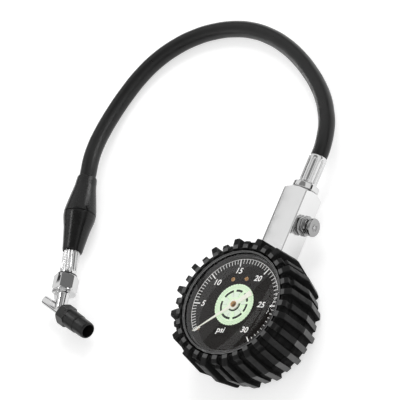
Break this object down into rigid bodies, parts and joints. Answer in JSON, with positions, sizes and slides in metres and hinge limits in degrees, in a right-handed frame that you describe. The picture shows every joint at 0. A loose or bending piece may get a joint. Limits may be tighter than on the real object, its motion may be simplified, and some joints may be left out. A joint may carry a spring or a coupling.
{
  "type": "tyre inflation gauge with hose and swivel chuck",
  "caption": "Dial pressure gauge in a tread-lugged rubber boot with a bleeder valve block, short rubber hose, double-cone grip and swivelling angled chuck for tyre valves.",
  "frame": {"origin": "centre of the boot's flat back face, on the gauge axis", "axes": "+Z out of the dial along the gauge axis, +Y along the valve block towards the hose, +X to the right of the dial"},
  "size_m": [0.2161, 0.2271, 0.0382],
  "materials": {
    "boot_rubber": "matte moulded",
    "hose_rubber": "smooth satin",
    "black_seal": "matte",
    "case_steel": "satin black enamel",
    "bezel_metal": "dark polished chrome",
    "lens_clear": "polished clear",
    "dial_black": "satin print",
    "glow_paint": "matte luminous",
    "pointer_cream": "satin",
    "brass_part": "machined",
    "spring_steel": "drawn",
    "satin_chrome": "satin",
    "bright_chrome": "bright polished",
    "grip_plastic": "semi-gloss moulded",
    "tip_plastic": "satin moulded"
  },
  "bodies": {
    "gauge": {"boot": "boot_rubber", "case": "case_steel", "bezel": "bezel_metal", "lens": "lens_clear", "lens_gasket": "black_seal", "dial_plate": "dial_black", "glow_disc": "glow_paint", "dial_screw_1": "brass_part", "dial_screw_2": "brass_part", "stop_pin": "brass_part", "movement_back_plate": "brass_part", "movement_front_plate": "brass_part", "movement_pillar_1": "brass_part", "movement_pillar_2": "brass_part", "movement_pillar_3": "brass_part", "movement_screw_1": "spring_steel", "movement_screw_2": "spring_steel", "hairspring": "spring_steel", "hairspring_stud": "brass_part", "bourdon_tube": "brass_part", "tube_end_piece": "brass_part", "gauge_socket": "brass_part", "valve_block": "satin_chrome", "check_spring": "spring_steel", "check_seat": "black_seal", "hose_fitting": "bright_chrome", "block_ferrule": "bright_chrome", "bleeder_body": "bright_chrome", "bleeder_spring": "spring_steel", "hose": "hose_rubber", "grip_upper": "grip_plastic", "grip_lower": "grip_plastic", "chuck_ferrule": "satin_chrome", "chuck_barb": "brass_part", "seal_ring": "black_seal"},
    "pointer_shaft": {"pointer": "pointer_cream", "pointer_hub": "brass_part", "pinion_arbor": "brass_part", "hairspring_collet": "brass_part"},
    "sector": {"sector_gear": "brass_part", "sector_arbor": "spring_steel", "link_pin": "spring_steel"},
    "link_bar": {"link": "brass_part"},
    "bleeder_plunger": {"bleeder_button": "bright_chrome", "bleeder_stem": "spring_steel", "bleeder_seal": "black_seal"},
    "hold_valve": {"check_poppet": "brass_part"},
    "chuck": {"swivel_nut": "bright_chrome", "chuck_body": "bright_chrome", "chuck_tip": "tip_plastic", "tip_gasket": "black_seal", "depressor_spring": "spring_steel"},
    "depressor": {"depressor_pin": "brass_part"}
  },
  "joints": [
    {"name": "sector_turn", "type": "hinge", "parent": "gauge", "child": "sector", "pos_m": [0.01114, -0.01327, 0.0228], "axis": [0, 0, 1], "range_deg": [0, 45], "stiffness_Nm_per_rad": 0.002},
    {"name": "pointer_turn", "type": "hinge", "parent": "gauge", "child": "pointer_shaft", "pos_m": [0, 0, 0.03], "axis": [0, 0, 1], "range_deg": [-270, 0], "deforming": ["hairspring"]},
    {"name": "link_swing", "type": "hinge", "parent": "sector", "child": "link_bar", "pos_m": [0.01724, -0.01105, 0.0241], "axis": [0, 0, 1], "range_deg": [-45, 0]},
    {"name": "bleeder_press", "type": "slide", "parent": "gauge", "child": "bleeder_plunger", "axis": [-1, 0, 0], "range_m": [0, 0.0014], "stiffness_N_per_m": 1500, "springref_m": -0.002, "deforming": ["bleeder_spring"]},
    {"name": "hold_valve_lift", "type": "slide", "parent": "gauge", "child": "hold_valve", "axis": [0, -1, 0], "range_m": [0, 0.0012], "stiffness_N_per_m": 300, "springref_m": -0.001, "deforming": ["check_spring"]},
    {"name": "chuck_swivel", "type": "hinge", "parent": "gauge", "child": "chuck", "pos_m": [-0.1569, 0.0431, 0.0097], "axis": [0.2487, -0.9686, 0], "continuous": true},
    {"name": "depressor_push", "type": "slide", "parent": "chuck", "child": "depressor", "axis": [-0.9505, 0.3107, 0], "range_m": [0, 0.0015], "stiffness_N_per_m": 800, "springref_m": -0.002, "deforming": ["depressor_spring"]}
  ],
  "couplings": [
    {"joint": "pointer_turn", "follows": "sector_turn", "ratio": -6},
    {"joint": "link_swing", "follows": "sector_turn", "ratio": -1}
  ]
}
